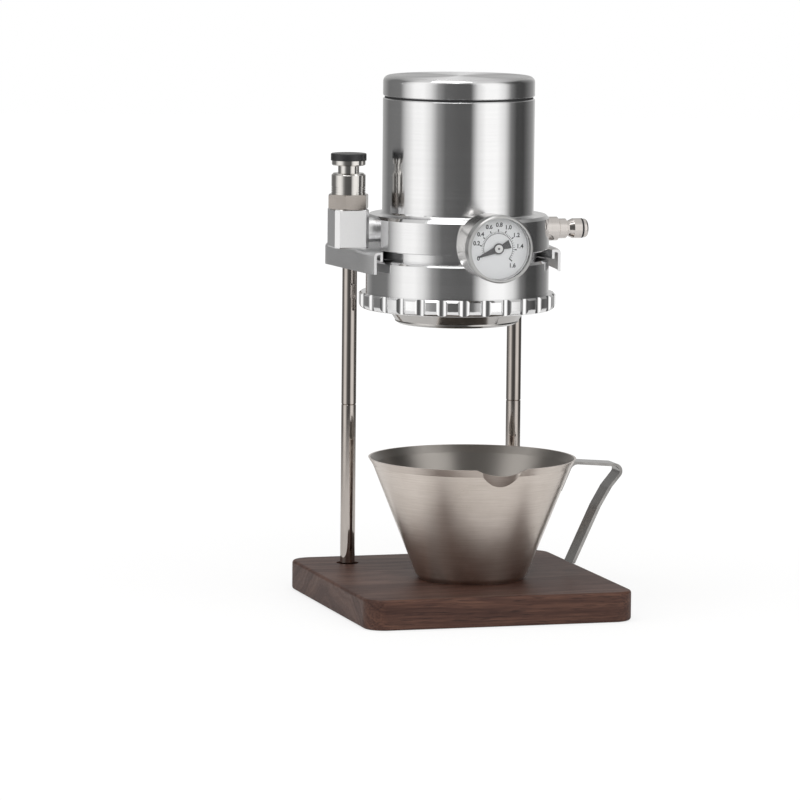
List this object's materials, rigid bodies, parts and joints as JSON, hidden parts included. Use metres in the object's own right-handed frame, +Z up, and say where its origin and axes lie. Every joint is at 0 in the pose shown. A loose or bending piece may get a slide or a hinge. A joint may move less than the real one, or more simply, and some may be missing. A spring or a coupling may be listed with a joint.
{
  "type": "air-pressure espresso maker on stand",
  "caption": "Manual air-pressure espresso maker with dial gauge, hung in a forked stand on a walnut board, with a steel measuring cup below.",
  "frame": {"origin": "on the brewer's axis, at the board's underside", "axes": "+Z up along the brewer's axis, -Y towards the gauge and the fork's open front, +X towards the air inlet plug"},
  "size_m": [0.1188, 0.12, 0.2118],
  "materials": {
    "walnut": "oiled dark walnut",
    "screw_steel": "plain",
    "rod_steel": "polished stainless",
    "bracket_steel": "satin stainless sheet",
    "aluminium": "fine turned, satin",
    "ring_aluminium": "polished turned",
    "basket_steel": "polished stainless",
    "black_rubber": "matte",
    "chrome": "mirror",
    "plug_nickel": "bright nickel",
    "satin_nickel": "satin nickel",
    "brass": "plain",
    "lens_glass": "clear",
    "dial_face": "pale grey, printed scale",
    "needle_black": "satin black",
    "hub_metal": "turned",
    "black_plastic": "satin black",
    "spring_steel": "drawn wire",
    "cup_steel": "brushed stainless"
  },
  "bodies": {
    "stand": {"base_board": "walnut", "base_screws": "screw_steel", "lower_rod_left": "rod_steel", "upper_rod_left": "rod_steel", "lower_rod_right": "rod_steel", "upper_rod_right": "rod_steel", "stand_bracket": "bracket_steel", "bracket_screws": "screw_steel"},
    "brewer": {"brewer_body": "aluminium", "shower_screen": "basket_steel", "group_gasket": "black_rubber", "gauge_stem": "brass", "gauge_case": "chrome", "gauge_bezel": "chrome", "gauge_lens": "lens_glass", "gauge_dial": "dial_face", "elbow_block": "satin_nickel", "valve_body": "chrome", "valve_spring": "spring_steel", "inlet_plug": "plug_nickel", "inlet_seal": "black_rubber"},
    "cap_carrier": {"cap_seal": "black_rubber"},
    "cap": {"top_cap": "aluminium"},
    "basket": {"filter_basket": "basket_steel"},
    "ring": {"lock_ring": "ring_aluminium"},
    "button": {"valve_stem": "chrome", "valve_poppet": "black_rubber", "button_cap": "black_plastic"},
    "needle": {"gauge_needle": "needle_black", "needle_hub": "hub_metal"},
    "cup": {"measuring_cup": "cup_steel", "cup_handle": "cup_steel"}
  },
  "joints": [
    {"name": "brewer_slide", "type": "slide", "parent": "stand", "child": "brewer", "axis": [0, -1, 0], "range_m": [0, 0.1]},
    {"name": "cap_rise", "type": "slide", "parent": "brewer", "child": "cap_carrier", "axis": [0, 0, 1], "range_m": [0, 0.0081]},
    {"name": "cap_turn", "type": "hinge", "parent": "cap_carrier", "child": "cap", "pos_m": [0, 0, 0.2], "axis": [0, 0, 1], "range_deg": [0, 1440]},
    {"name": "basket_drop", "type": "slide", "parent": "brewer", "child": "basket", "axis": [0, 0, -1], "range_m": [0, 0.0081]},
    {"name": "ring_turn", "type": "hinge", "parent": "basket", "child": "ring", "pos_m": [0, 0, 0.12], "axis": [0, 0, -1], "range_deg": [0, 1440]},
    {"name": "relief_press", "type": "slide", "parent": "brewer", "child": "button", "axis": [0, 0, -1], "range_m": [0, 0.0024], "stiffness_N_per_m": 400, "springref_m": -0.005, "deforming": ["valve_spring"]},
    {"name": "needle_sweep", "type": "hinge", "parent": "brewer", "child": "needle", "pos_m": [0, -0.0547, 0.1474], "axis": [0, 1, 0], "range_deg": [0, 248], "stiffness_Nm_per_rad": 0.0002},
    {"name": "cup_lift", "type": "slide", "parent": "stand", "child": "cup", "axis": [0, -0.9701, 0.2425], "range_m": [0, 0.15]}
  ],
  "couplings": [
    {"joint": "cap_rise", "follows": "cap_turn", "m_per_rad": 0.00031831},
    {"joint": "basket_drop", "follows": "ring_turn", "m_per_rad": 0.00031831}
  ]
}
